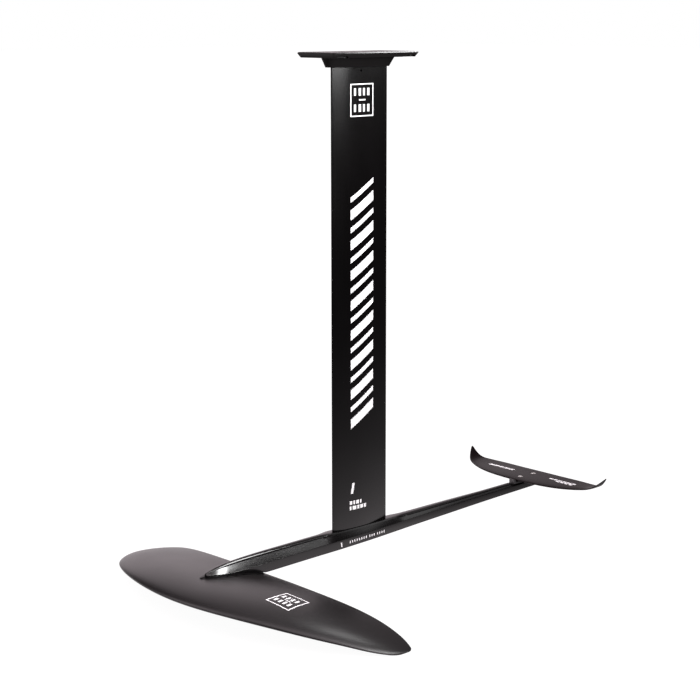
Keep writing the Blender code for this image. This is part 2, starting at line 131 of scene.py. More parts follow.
def monotone(xs, ys, x):
    """Smooth curve through points that never overshoots them."""
    xs, ys = np.asarray(xs, float), np.asarray(ys, float)
    h, d = np.diff(xs), np.diff(ys) / np.diff(xs)
    m = np.zeros(len(xs))
    m[0], m[-1] = d[0], d[-1]
    for i in range(1, len(xs) - 1):
        if d[i - 1] * d[i] > 0:
            w1, w2 = 2 * h[i] + h[i - 1], h[i] + 2 * h[i - 1]
            m[i] = (w1 + w2) / (w1 / d[i - 1] + w2 / d[i])
    x = float(np.clip(x, xs[0], xs[-1]))
    k = int(np.clip(np.searchsorted(xs, x, side="right") - 1, 0, len(xs) - 2))
    t = (x - xs[k]) / h[k]
    return float(
        (2 * t**3 - 3 * t**2 + 1) * ys[k] + (t**3 - 2 * t**2 + t) * h[k] * m[k]
        + (-2 * t**3 + 3 * t**2) * ys[k + 1] + (t**3 - t**2) * h[k] * m[k + 1]
    )


def spline(xs, ys, x):
    xs, ys = np.asarray(xs, float), np.asarray(ys, float)
    n, h = len(xs), np.diff(xs)
    a, rhs = np.zeros((n, n)), np.zeros(n)
    a[0, 0], a[0, 1] = 2 * h[0], h[0]
    rhs[0] = 6 * ((ys[1] - ys[0]) / h[0])
    for i in range(1, n - 1):
        a[i, i - 1], a[i, i], a[i, i + 1] = h[i - 1], 2 * (h[i - 1] + h[i]), h[i]
        rhs[i] = 6 * ((ys[i + 1] - ys[i]) / h[i] - (ys[i] - ys[i - 1]) / h[i - 1])
    a[-1, -1], a[-1, -2] = 1, -1
    m = np.linalg.solve(a, rhs)
    x = np.clip(np.asarray(x, float), xs[0], xs[-1])
    k = np.clip(np.searchsorted(xs, x, side="right") - 1, 0, n - 2)
    t0, t1 = x - xs[k], xs[k + 1] - x
    return (m[k] * t1**3 + m[k + 1] * t0**3) / (6 * h[k]) + (ys[k] / h[k] - m[k] * h[k] / 6) * t1 + (
        ys[k + 1] / h[k] - m[k + 1] * h[k] / 6) * t0


def foil(u, thickness, camber, te_half=0.0):
    half = 5 * thickness * (0.2969 * np.sqrt(u) - 0.126 * u - 0.3516 * u**2 + 0.2843 * u**3 - 0.1015 * u**4)
    half = half + te_half * u
    c = 0.4
    mean = np.where(u < c, camber / c**2 * (2 * c * u - u**2), camber / (1 - c) ** 2 * (1 - 2 * c + 2 * c * u - u**2))
    return mean + half, mean - half


def loft(rings, cap=True):
    n = len(rings[0])
    verts = np.concatenate(rings)
    i = np.arange(n)
    j = (i + 1) % n
    faces = []
    for r in range(len(rings) - 1):
        a, b = r * n, (r + 1) * n
        faces.extend(np.stack([a + i, a + j, b + j, b + i], axis=1).tolist())
    if cap:
        faces.append(list(range(n))[::-1])
        faces.append([(len(rings) - 1) * n + k for k in range(n)])
    return verts, faces


def put(name, verts, faces, mat=None, angle=30.0, tool=False):
    mesh = bpy.data.meshes.new(name)
    mesh.from_pydata(np.asarray(verts, float).tolist(), [], faces)
    bm = bmesh.new()
    bm.from_mesh(mesh)
    bmesh.ops.remove_doubles(bm, verts=bm.verts, dist=1e-7)
    bmesh.ops.recalc_face_normals(bm, faces=bm.faces)
    bm.to_mesh(mesh)
    bm.free()
    mesh.shade_smooth()
    mesh.set_sharp_from_angle(angle=math.radians(angle))
    obj = bpy.data.objects.new(name, mesh)
    bpy.context.scene.collection.objects.link(obj)
    if mat:
        mesh.materials.append(mat)
    return obj


def bake(obj, angle=30.0):
    """Applies the modifiers and shades the result smooth between real edges."""
    bpy.context.view_layer.update()
    dg = bpy.context.evaluated_depsgraph_get()
    mesh = bpy.data.meshes.new_from_object(obj.evaluated_get(dg), preserve_all_data_layers=True, depsgraph=dg)
    obj.modifiers.clear()
    old = obj.data
    obj.data = mesh
    bpy.data.meshes.remove(old)
    mesh.shade_smooth()
    mesh.set_sharp_from_angle(angle=math.radians(angle))


def carve(obj, tools, operation="DIFFERENCE", angle=30.0):
    for t in tools:
        m = obj.modifiers.new("cut", "BOOLEAN")
        m.operation, m.solver, m.object = operation, "EXACT", t
    bake(obj, angle)
    for t in tools:
        bpy.data.objects.remove(t, do_unlink=True)


def rings_turned(profile, sides=48, hexagon=(), centre=(0, 0, 0), down=False):
    """Rings about a vertical axis from (radius, z); down turns the piece over."""
    rings = []
    a = np.arange(sides) * 2 * math.pi / sides
    for k, (radius, z) in enumerate(profile):
        r = np.full(sides, radius)
        if k in hexagon:
            r = radius / np.cos((a + math.pi / 6) % (math.pi / 3) - math.pi / 6)
        y, zz = r * np.sin(a), np.full(sides, z)
        if down:
            y, zz = -y, -zz
        rings.append(np.stack([r * np.cos(a) + centre[0], y + centre[1], zz + centre[2]], axis=1))
    return rings


def hole_tool(x, z, down, r_head, r_shank, depth, sides=64):
    """Clearance hole with a countersink and a small entry bevel, as a cutter."""
    prof = [(r_shank, -depth), (r_shank, -0.0008 - (r_head - r_shank)), (r_head, -0.0008), (r_head, 0.0), (r_head + 0.006, 0.006)]
    return put("tool", *loft(rings_turned(prof, sides, centre=(x, 0, z), down=down)), tool=True)


def finish_piece(obj, slot, *nodes):
    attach(obj, "root")
    if nodes:
        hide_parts(*nodes)
    return obj


# ------------------------------------------------------------------ materials
def nodes_of(mat):
    mat.use_nodes = True
    nt = mat.node_tree
    nt.nodes.clear()
    out = nt.nodes.new("ShaderNodeOutputMaterial")
    bsdf = nt.nodes.new("ShaderNodeBsdfPrincipled")
    nt.links.new(bsdf.outputs[0], out.inputs[0])
    return nt, bsdf


def noise(nt, scale, stretch=(1, 1, 1), detail=3.0, rough=0.55):
    co = nt.nodes.new("ShaderNodeTexCoord")
    mp = nt.nodes.new("ShaderNodeMapping")
    mp.inputs["Scale"].default_value = stretch
    nt.links.new(co.outputs["Object"], mp.inputs["Vector"])
    tx = nt.nodes.new("ShaderNodeTexNoise")
    tx.inputs["Scale"].default_value = scale
    tx.inputs["Detail"].default_value = detail
    tx.inputs["Roughness"].default_value = rough
    nt.links.new(mp.outputs[0], tx.inputs["Vector"])
    return tx.outputs["Fac"]


def ranged(nt, fac, low, high, f0=0.3, f1=0.7):
    m = nt.nodes.new("ShaderNodeMapRange")
    m.inputs["From Min"].default_value, m.inputs["From Max"].default_value = f0, f1
    m.inputs["To Min"].default_value, m.inputs["To Max"].default_value = low, high
    nt.links.new(fac, m.inputs["Value"])
    return m.outputs["Result"]


def tinted(nt, fac, a, b):
    m = nt.nodes.new("ShaderNodeMix")
    m.data_type = "RGBA"
    m.inputs["A"].default_value, m.inputs["B"].default_value = (*a, 1), (*b, 1)
    nt.links.new(fac, m.inputs["Factor"])
    return m.outputs["Result"]


def added(nt, a, b, op="ADD"):
    m = nt.nodes.new("ShaderNodeMath")
    m.operation = op
    for k, v in enumerate((a, b)):
        if isinstance(v, (int, float)):
            m.inputs[k].default_value = v
        else:
            nt.links.new(v, m.inputs[k])
    return m.outputs[0]


def bumped(nt, bsdf, height, distance, strength):
    b = nt.nodes.new("ShaderNodeBump")
    b.inputs["Distance"].default_value = distance
    b.inputs["Strength"].default_value = strength
    nt.links.new(height, b.inputs["Height"])
    nt.links.new(b.outputs[0], bsdf.inputs["Normal"])


def anodised(name, base, rough, lines, line_strength, spec=0.5, metallic=0.0):
    """Black anodised extrusion: dead black dye under a sealed skin, with the die's fine lines."""
    mat = bpy.data.materials.new(name)
    nt, b = nodes_of(mat)
    cloud = noise(nt, 9.0, (1, 1, 0.35), 4.0)
    streak = noise(nt, 1.0, lines, 2.0, 0.6)
    grain = noise(nt, 5200.0, (1, 1, 1), 2.0)
    nt.links.new(tinted(nt, ranged(nt, cloud, 0.0, 1.0), tuple(c * 0.8 for c in base), tuple(c * 1.25 for c in base)), b.inputs["Base Color"])
    r = added(nt, ranged(nt, cloud, rough - 0.025, rough + 0.03), ranged(nt, streak, -0.008, 0.008))
    nt.links.new(added(nt, r, ranged(nt, grain, -0.02, 0.02)), b.inputs["Roughness"])
    b.inputs["Metallic"].default_value = metallic
    b.inputs["Specular IOR Level"].default_value = spec
    bumped(nt, b, added(nt, streak, added(nt, grain, 0.35, "MULTIPLY")), 0.00004, line_strength)
    return mat


def lacquer(name, base, rough, peel, spec=0.5, speck=0.0):
    """Satin black lacquer over a laminate: faint cloudiness, orange peel and a fine metallic-like fleck."""
    mat = bpy.data.materials.new(name)
    nt, b = nodes_of(mat)
    cloud = noise(nt, 6.0, (1, 1, 1), 5.0)
    fine = noise(nt, 420.0, (1, 1, 1), 2.0)
    fleck = noise(nt, 3800.0, (1, 1, 1), 1.0)
    nt.links.new(tinted(nt, ranged(nt, cloud, 0.0, 1.0), tuple(c * 0.85 for c in base), tuple(c * 1.2 for c in base)), b.inputs["Base Color"])
    r = added(nt, ranged(nt, cloud, rough - 0.02, rough + 0.03), ranged(nt, fleck, -0.03 - speck, 0.03 + speck))
    nt.links.new(r, b.inputs["Roughness"])
    b.inputs["Specular IOR Level"].default_value = spec
    bumped(nt, b, added(nt, fine, added(nt, fleck, 0.5, "MULTIPLY")), 0.00006, peel)
    return mat


def plain(name, base, rough, metallic=0.0, spec=0.5, scale=700.0, bump=0.1, stretch=(1, 1, 1), vary=0.12):
    mat = bpy.data.materials.new(name)
    nt, b = nodes_of(mat)
    n1 = noise(nt, scale, stretch, 3.0)
    nt.links.new(tinted(nt, ranged(nt, n1, 0, 1), tuple(c * (1 - vary) for c in base), tuple(min(c * (1 + vary), 1.0) for c in base)), b.inputs["Base Color"])
    nt.links.new(ranged(nt, n1, rough * 0.88, rough * 1.12), b.inputs["Roughness"])
    b.inputs["Metallic"].default_value = metallic
    b.inputs["Specular IOR Level"].default_value = spec
    bumped(nt, b, n1, 0.00003, bump)
    return mat


M_MAST = anodised("mast_black_anodised", (0.0009, 0.0007, 0.0008), 0.21, (700, 700, 3), 0.02)
M_FUSE = anodised("fuselage_black_anodised", (0.0010, 0.0007, 0.0008), 0.20, (4, 700, 700), 0.006)
M_PLATE = anodised("plate_black_anodised", (0.0026, 0.0021, 0.0022), 0.34, (5, 600, 600), 0.01, spec=0.28)
M_WING = lacquer("wing_satin_black", (0.0046, 0.0036, 0.0039), 0.35, 0.08)
M_STAB = lacquer("stabiliser_satin_black", (0.0036, 0.0016, 0.0020), 0.34, 0.07, spec=0.12)
M_PAD = plain("pad_gloss_black", (0.0016, 0.0014, 0.0015), 0.30, spec=0.10, scale=90.0, bump=0.03)
M_SHIM = plain("shim_black_polymer", (0.020, 0.019, 0.020), 0.42, scale=2600.0, bump=0.35)
M_STEEL = plain("stainless_satin", (0.80, 0.79, 0.77), 0.48, 1.0, scale=900.0, bump=0.12)
M_INSERT = plain("insert_stainless", (0.50, 0.48, 0.45), 0.33, 1.0, scale=500.0, bump=0.2)
M_INK = plain("print_white", (0.93, 0.93, 0.94), 0.45, scale=2400.0, bump=0.25, vary=0.03)


# ------------------------------------------------------------------ front wing
def wing_frame(s):
    le = spline(WING_STATIONS, WING_LE, s)
    te = spline(WING_STATIONS, WING_TE, s)
    return le, le - te, spline(WING_Z_STATIONS, WING_Z, s)


def wing_height(x, y):
    s = abs(y) / WING_HALF_SPAN
    le, chord, z = wing_frame(s)
    u = np.clip((le - x) / chord, 0, 1)
    hi, lo = foil(u, WING_THICKNESS * (1 - 0.35 * s * s), WING_CAMBER, 0.0025 + 0.008 * s**3)
    return float(z + chord * hi), float(z + chord * lo)


def chordwise(le, chord, thickness, camber, te_half, side):
    u = (1 - np.cos(np.linspace(0, math.pi, side))) / 2
    hi, lo = foil(u, thickness, camber, te_half)
    x = np.concatenate([u[::-1], u[1:]])
    h = np.concatenate([hi[::-1], lo[1:]])
    return le - chord * x, chord * h


def span_list(count, crowd, tip, tip_count):
    """Span fractions of one half: crowded outboard, with extra rings on the rounded tip."""
    inner = (1 - (1 - np.linspace(0, 1, count)) ** crowd) * (1 - tip)
    cap = 1 - tip + tip * np.sin(np.linspace(0, math.pi / 2, tip_count + 1)[1:])
    half = np.concatenate([inner, cap])
    return np.concatenate([-half[:0:-1], half])


TIP = 0.009 / WING_HALF_SPAN
rings = []
for s in span_list(70, 1.5, TIP, 12):
    a = abs(s)
    le, chord, z = wing_frame(a)
    x, h = chordwise(le, chord, WING_THICKNESS * (1 - 0.35 * a * a), WING_CAMBER, 0.0025 + 0.008 * a**3, 48)
    k = max(0.0, (a - (1 - TIP)) / TIP)
    f = max((1 - min(k, 0.9995) ** 2.6) ** (1 / 2.6), 0.05)
    x = le - chord * 0.5 + (x - (le - chord * 0.5)) * (0.25 + 0.75 * f)
    mid = h.mean()
    h = mid + (h - mid) * f
    rings.append(np.stack([x, np.full(len(x), s * WING_HALF_SPAN), z + h], axis=1))
wing = put("front_wing_skin", *loft(rings), M_WING, 40)

wing_screws = []
tools = []
for i, x in enumerate(WING_SCREW_X, 1):
    b0, b1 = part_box(f"front_wing_screw_{i}")
    head = b0.z
    tools.append(hole_tool(x, head, True, 0.00775, 0.0043, 0.05))
    prof = [(0.0025, -0.0030), (0.0025, -0.0004), (0.0028, 0.0), (0.0071, 0.0), (0.0074, -0.0001), (0.0075, -0.0004),
            (0.0074, -0.0008), (0.0040, -0.0042), (0.0040, -(b1.z - b0.z) + 0.001), (0.0031, -(b1.z - b0.z))]
    sc = put(f"front_wing_screw_{i}_fine", *loft(rings_turned(prof, 48, (0, 1, 2), (x, 0, head), True)), M_STEEL, 35)
    wing_screws.append(finish_piece(sc, "stainless", f"front_wing_screw_{i}"))
carve(wing, tools, angle=40)
finish_piece(wing, "wing_satin", "front_wing")


# ------------------------------------------------------------------ fuselage
def fuselage_line(x):
    w = monotone((-0.53, -0.37, -0.225, -0.135, -0.07, 0, 0.06, 0.1125, 0.225, 0.30, 0.345),
                 (0.0085, 0.0090, 0.0124, 0.0146, 0.0172, 0.0188, 0.0186, 0.0169, 0.0146, 0.0132, 0.0120), x)
    wt = monotone((-0.53, -0.37, -0.225, -0.10, -0.07, 0.07, 0.1125, 0.225, 0.345),
                  (0.0054, 0.0056, 0.0079, 0.0100, 0.0112, 0.0116, 0.0084, 0.0070, 0.0050), x)
    top = monotone((-0.43, -0.34, -0.225, -0.12, 0.10, 0.19, 0.246, 0.304, 0.345, 0.374),
                   (-0.8965, -0.8980, -0.8988, -0.9000, -0.9000, -0.9012, -0.9022, -0.9046, -0.9090, -0.9160), x)
    crease = -0.9135 - 0.0275 * x - 0.0035 * math.tanh(x / 0.12) * x
    bottom = -0.9310 - 0.036 * x
    return w, wt, bottom, crease, top


def fuselage_ring(x):
    w, wt, bottom, crease, top = fuselage_line(x)
    if x > 0.335:
        k = math.sqrt(max(1 - ((x - 0.335) / (NOSE_X + 0.0006 - 0.335)) ** 2, 0.0))
        w, wt = w * k, wt * k
    if x > SEAT_X0 - 0.02:
        lift = wing_height(x, 0)[0] + SEAT_T + 2 * GAP
        d = lift - bottom
        bottom = bottom + 0.5 * (d + math.sqrt(d * d + 0.0004**2)) if x < SEAT_X0 + 0.02 else max(bottom, lift)
    if x < TAIL_SEAT_X:
        top = min(top, TAIL_SEAT_Z + max(0.0, 0.0035 - (TAIL_SEAT_X - x)))
        crease = min(crease, top - 0.0018)
    crease = max(crease, bottom + 0.0012)
    top = max(top, crease + 0.0012)
    crease = min(crease, top - 0.0010)
    rb = min(0.0013, w * 0.3, (crease - bottom) * 0.4)
    g = min(0.00028, (top - crease) * 0.1)
    pts = []
    for a in np.linspace(-math.pi / 2, 0, 6):  # rounded belly corner
        pts.append((w - rb + rb * math.cos(a), bottom + rb + rb * math.sin(a)))
    pts += [(w, crease - 0.00055), (w - 0.00005, crease - g), (w - g * 1.2, crease), (w - 0.0001, crease + g)]
    drop = (top - crease) * (0.30 - 0.20 * float(smooth(-0.115, -0.09, x) * (1 - smooth(0.075, 0.105, x))))
    # slope from the crease to the ridge, then a rounded ridge
    sx, sz = wt, top - drop
    for t in (0.25, 0.5, 0.75):
        pts.append((w + (sx - w) * t, crease + g + (sz - crease - g) * t))
    for a in np.linspace(0, math.pi / 2, 9)[:-1]:
        pts.append((sx * math.cos(a) ** 0.85 if a > 0 else sx, sz + drop * math.sin(a) ** 1.0))
    full = pts + [(0.0, top)] + [(-p, q) for p, q in pts[::-1]]
    return np.array([(x, p, q) for p, q in full])


xs = np.concatenate([
    np.linspace(TAIL_X, -0.4345, 24), np.linspace(-0.4335, -0.4300, 5), np.linspace(-0.425, -0.14, 50),
    np.linspace(-0.135, 0.125, 90), np.linspace(0.13, 0.245, 30), np.linspace(0.25, 0.335, 40),
    0.335 + (NOSE_X - 0.335) * np.sin(np.linspace(0.06, math.pi / 2, 28)),
])
fuse = put("fuselage_body", *loft([fuselage_ring(float(x)) for x in xs]), M_FUSE, 24)
tools = []
for i, x in enumerate(SCREW_LINE, 1):
    b0, b1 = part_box(f"mast_screw_{i}")
    tools.append(hole_tool(x, b0.z, True, 0.0062, 0.0033, 0.07))
    prof = [(0.0020, -0.0026), (0.0020, -0.0003), (0.0023, 0.0), (0.0055, 0.0), (0.0058, -0.0001), (0.0059, -0.0004),
            (0.0058, -0.0007), (0.0030, -0.0036), (0.0030, -(b1.z - b0.z) + 0.0008), (0.0022, -(b1.z - b0.z))]
    sc = put(f"mast_screw_{i}_fine", *loft(rings_turned(prof, 48, (0, 1, 2), (x, 0, b0.z), True)), M_STEEL, 35)
    finish_piece(sc, "stainless", f"mast_screw_{i}")
for i, x in enumerate(WING_SCREW_X, 1):
    b0, b1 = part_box(f"nose_insert_{i}")
    tools.append(put("tool", *loft(rings_turned([(0.0059, b0.z - 0.01), (0.0059, b1.z + 0.0004)], 48, centre=(x, 0, 0)))))
for i, x in enumerate(STAB_SCREW_X, 1):
    b0, b1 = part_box(f"tail_insert_{i}")
    tools.append(put("tool", *loft(rings_turned([(0.0046, b0.z - 0.0004), (0.0046, b1.z + 0.01)], 48, centre=(x, 0, 0)))))
carve(fuse, tools, angle=24)
finish_piece(fuse, "fuselage_anodised", "fuselage")


# ------------------------------------------------------------------ glossy pad with its flared lip
def seat_half_width(x):
    if x > 0.325:
        return 0.0195 * math.sqrt(max(1 - ((x - 0.325) / (SEAT_X1 + 0.0002 - 0.325)) ** 2, 0.0))
    return 0.0195 - 0.0035 * ((0.325 - x) / (0.325 - SEAT_X0)) ** 2


rings = []
seat_xs = np.concatenate([np.linspace(SEAT_X0, 0.325, 40), 0.325 + (SEAT_X1 - 0.00002 - 0.325) * np.sin(np.linspace(0.03, math.pi / 2, 44))])
for x in seat_xs:
    x = float(x)
    w = seat_half_width(x)
    fr = fuselage_ring(min(x, NOSE_X - 1e-5))
    inner = min(float(fr[:, 1].max()) if x < NOSE_X else 0.0, w * 0.98)
    core = wing_height(x, 0)[0] + GAP + SEAT_T
    t = np.linspace(-1, 1, 61)
    y = np.sign(t) * (1 - (1 - np.abs(t)) ** 1.35) * w
    under = [(x, q, wing_height(x, q)[0] + GAP) for q in y]
    over = []
    for q in y[::-1]:
        k = min(1.0, max(0.0, (abs(q) - inner) / max(w - inner, 1e-5)))
        base = wing_height(x, q)[0] + GAP
        thick = 0.00075 * math.sqrt(max(1 - k**4, 0.0)) + 0.00008
        lip = base + thick
        flare = (1 - float(smooth(0.0, 0.38, k))) ** 1.6
        z = lip + (core - 0.00005 - lip) * flare if core > lip else min(lip, core)
        over.append((x, q, z))
    rings.append(np.array(under + over))
seat = put("wing_seat_pad", *loft(rings), M_PAD, 45)
carve(seat, [put("tool", *loft(rings_turned([(0.0046, -0.96), (0.0046, -0.90)], 48, centre=(x, 0, 0)))) for x in WING_SCREW_X], angle=45)
finish_piece(seat, "seat_pad", "wing_seat")


# ------------------------------------------------------------------ mast
def mast_half(u):
    if u <= MAST_CREST:
        return MAST_HALF_T * max(1 - ((MAST_CREST - u) / MAST_CREST) ** 1.8, 0.0) ** 0.6
    k = 1 - ((u - MAST_CREST) / (1 - MAST_CREST)) ** 1.6
    return max(MAST_HALF_T * k, 0.0) * (1 - MAST_TE_HALF / MAST_HALF_T) + MAST_TE_HALF


def mast_y(x):
    return mast_half((MAST_LE - x) / (MAST_LE - MAST_TE))


def mast_loop(count, offset=0.0):
    chord = MAST_LE - MAST_TE
    u = (1 - np.cos(np.linspace(0, math.pi, count) ** 1.0)) / 2
    u = np.concatenate([u[:-1], [0.9985, 1.0]])
    y = np.array([mast_half(min(k, 1.0)) for k in u])
    y[-1] *= 0.45  # softened trailing corner
    port = np.stack([MAST_LE - chord * u, y], axis=1)
    loop = np.concatenate([port, port[:0:-1] * (1, -1)])
    if offset:
        nx, pv = np.roll(loop, -1, axis=0), np.roll(loop, 1, axis=0)
        t = nx - pv
        n = np.stack([t[:, 1], -t[:, 0]], axis=1) / np.linalg.norm(t, axis=1)[:, None]
        if ((loop - loop.mean(axis=0)) * n).sum() < 0:
            n = -n
        loop = loop + n * offset
    return loop


def prism(loop, heights):
    return loft([np.column_stack([loop, np.full(len(loop), z)]) for z in heights])


mast = put("mast_extrusion", *prism(mast_loop(90), [MAST_FOOT, MAST_FOOT + 0.0002, *np.linspace(-0.85, -0.05, 17), MAST_TOP]), M_MAST, 28)
tools = []
edges = [MAST_LE - 0.0085] + [e for c in SCREW_LINE for e in (c + 0.0062, c - 0.0062)] + [MAST_TE + 0.020]
for k in range(0, len(edges), 2):
    cx = np.linspace(edges[k], edges[k + 1], 14)
    cy = np.array([mast_y(v) - 0.0026 for v in cx])
    loop = np.concatenate([np.column_stack([cx, cy]), np.column_stack([cx[::-1], -cy[::-1]])])
    tools.append(put("tool", *prism(loop, (MAST_FOOT - 0.01, MAST_TOP + 0.01))))
for i, x in enumerate(SCREW_LINE, 1):
    for node, z0, z1 in ((f"mast_top_insert_{i}", -0.0010, 0.01), (f"mast_foot_insert_{i}", -0.01, 0.0010)):
        b0, b1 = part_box(node)
        tools.append(put("tool", *loft(rings_turned([(0.0046, b0.z + z0), (0.0046, b1.z + z1)], 48, centre=(x, 0, 0)))))
# the drain hole, with its bevelled mouth
dr = rings_turned([(0.0019, 0.0), (0.0019, mast_y(DRAIN_X) - 0.0005), (0.0028, mast_y(DRAIN_X) + 0.0004), (0.0028, 0.03)], 32)
dr = [np.stack([p[:, 0] + DRAIN_X, p[:, 2], -p[:, 1] + DRAIN_Z], axis=1) for p in dr]
tools.append(put("tool", *loft(dr)))
carve(mast, tools, angle=28)
finish_piece(mast, "mast_anodised", "mast")


# ------------------------------------------------------------------ board plate and collar
PX, PY, PT, PU = 0.1072, 0.0525, 0.010, 0.005


def rounded(half_x, half_y, z, corner, n=14):
    pts = []
    for cx, cy, a0 in ((1, 1, 0), (-1, 1, 90), (-1, -1, 180), (1, -1, 270)):
        for k in range(n + 1):
            a = math.radians(a0 + 90 * k / n)
            pts.append((cx * (half_x - corner) + corner * math.cos(a), cy * (half_y - corner) + corner * math.sin(a), z))
    return np.array(pts)


def plate_ring(inset, z, corner):
    return rounded(PX - inset, PY - inset, z, corner)


side = []
for k in range(4):  # small round at the lower edge
    a = math.radians(90 * k / 3)
    side.append((PU + 0.0004 - 0.0004 * math.sin(a), -PT + 0.0004 * (1 - math.cos(a)), 0.005))
side += [(0.00035, -0.0026, 0.0068), (0.0001, -0.0023, 0.007), (0.0, -0.0020, 0.007), (0.0001, -0.00175, 0.007),
         (0.0018, -0.0002, 0.0062), (0.0020, -0.00005, 0.0061), (0.0023, 0.0, 0.006)]
plate = put("top_plate_body", *loft([plate_ring(i, z, c) for i, z, c in side]), M_PLATE, 25)


def collar_ring(front, back, half_y, z, power, n=120):
    a = np.arange(n) * 2 * math.pi / n
    c, s = np.cos(a), np.sin(a)
    x = np.sign(c) * np.abs(c) ** (2 / power)
    y = np.sign(s) * np.abs(s) ** (2 / power)
    return np.column_stack([np.where(x > 0, x * front, x * -back), y * half_y, np.full(n, z)])


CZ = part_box("top_plate")[0].z
collar_rings = [collar_ring(0.0779, -0.0739, 0.0159, CZ, 2.7), collar_ring(0.0784, -0.0744, 0.0164, CZ + 0.0002, 2.7), collar_ring(0.0786, -0.0746, 0.0166, CZ + 0.0006, 2.7)]
for t in np.linspace(0.05, 1, 10):
    collar_rings.append(collar_ring(0.0786 + 0.0054 * t, -0.0746 - 0.0084 * t, 0.0166 + 0.0094 * t, CZ + 0.0006 + (0.0155) * t, 2.7 + 0.1 * t))
for t in np.linspace(0.2, 1, 6):
    a = t * math.pi / 2
    collar_rings.append(collar_ring(0.0840 + 0.0025 * (1 - math.cos(a)), -0.0830 - 0.0025 * (1 - math.cos(a)), 0.0260 + 0.0030 * (1 - math.cos(a)), CZ + 0.0161 + 0.0022 * math.sin(a), 2.8))
collar = put("tool", *loft(collar_rings))
carve(plate, [collar], "UNION", angle=25)
tools = [put("tool", *prism(mast_loop(90, GAP), (CZ - 0.01, -0.0120)))]
for sx in (1, -1):
    for sy in (1, -1):
        straight = (0.030 - 0.009) / 2
        a = np.radians(np.arange(0, 181, 7.5))
        loop = np.concatenate([
            np.column_stack([straight + 0.0045 * np.sin(a), -0.0045 * np.cos(a)]),
            np.column_stack([-straight - 0.0045 * np.sin(a), 0.0045 * np.cos(a)]),
        ]) + (sx * 0.0825, sy * 0.045)
        tools.append(put("tool", *prism(loop, (-PT - 0.006, 0.006))))
for i, x in enumerate(SCREW_LINE, 1):
    b0, b1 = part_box(f"plate_screw_{i}")
    tools.append(hole_tool(x, b1.z, False, 0.0062, 0.0033, 0.04))
    prof = [(0.0020, -0.0026), (0.0020, -0.0003), (0.0023, 0.0), (0.0055, 0.0), (0.0058, -0.0001), (0.0059, -0.0004),
            (0.0058, -0.0007), (0.0030, -0.0036), (0.0030, -(b1.z - b0.z) + 0.0008), (0.0022, -(b1.z - b0.z))]
    sc = put(f"plate_screw_{i}_fine", *loft(rings_turned(prof, 48, (0, 1, 2), (x, 0, b1.z))), M_STEEL, 35)
    finish_piece(sc, "stainless", f"plate_screw_{i}")
carve(plate, tools, angle=25)
finish_piece(plate, "plate_anodised", "top_plate")


# ------------------------------------------------------------------ stabiliser
def stab_frame(a):
    le, te = spline(STAB_STATIONS, STAB_LE, a), spline(STAB_STATIONS, STAB_TE, a)
    return float(le), float(te), float(spline(STAB_STATIONS, STAB_Z, a))


def stab_tilt(s):
    a = abs(s)
    if a <= 0.01:
        return 0.0
    hi = min(a + 0.01, 1.0)
    rise = (spline(STAB_STATIONS, STAB_Z, hi) - spline(STAB_STATIONS, STAB_Z, a - 0.01)) / ((hi - a + 0.01) * STAB_HALF_SPAN)
    return math.atan(float(rise)) * (1 if s >= 0 else -1)


def stab_top(x, y):
    a = abs(y) / STAB_HALF_SPAN
    le, te, z = stab_frame(a)
    u = float(np.clip((le - x) / (le - te), 0, 1))
    return z + (le - te) * float(foil(np.array(u), STAB_THICKNESS, 0.0, 0.006 + 0.05 * a**4)[0])


rings = []
for s in span_list(60, 1.6, 0.012, 8):
    a = abs(s)
    le, te, z = stab_frame(a)
    x, h = chordwise(le, le - te, STAB_THICKNESS, 0.0, 0.006 + 0.05 * a**4, 40)
    k = max(0.0, (a - 0.988) / 0.012)
    f = max(math.sqrt(max(1 - min(k, 0.999) ** 2, 0)), 0.08)
    mid = 0.5 * (le + te)
    x = mid + (x - mid) * (0.35 + 0.65 * f)
    h = h * f
    t = stab_tilt(s)
    rings.append(np.stack([x, s * STAB_HALF_SPAN - h * math.sin(t), z + h * math.cos(t)], axis=1))
stab = put("stabiliser_skin", *loft(rings), M_STAB, 40)
tools = []
for i, x in enumerate(STAB_SCREW_X, 1):
    b0, b1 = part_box(f"stab_screw_{i}")
    tools.append(hole_tool(x, b1.z, False, 0.0062, 0.0033, 0.03))
    prof = [(0.0020, -0.0026), (0.0020, -0.0003), (0.0023, 0.0), (0.0054, 0.0), (0.0057, -0.0001), (0.0059, -0.0004),
            (0.0058, -0.0007), (0.0030, -0.0036), (0.0030, -(b1.z - b0.z) + 0.0008), (0.0022, -(b1.z - b0.z))]
    sc = put(f"stab_screw_{i}_fine", *loft(rings_turned(prof, 48, (0, 1, 2), (x, 0, b1.z))), M_STEEL, 35)
    finish_piece(sc, "stainless", f"stab_screw_{i}")
carve(stab, tools, angle=40)
finish_piece(stab, "stabiliser_satin", "stabiliser")

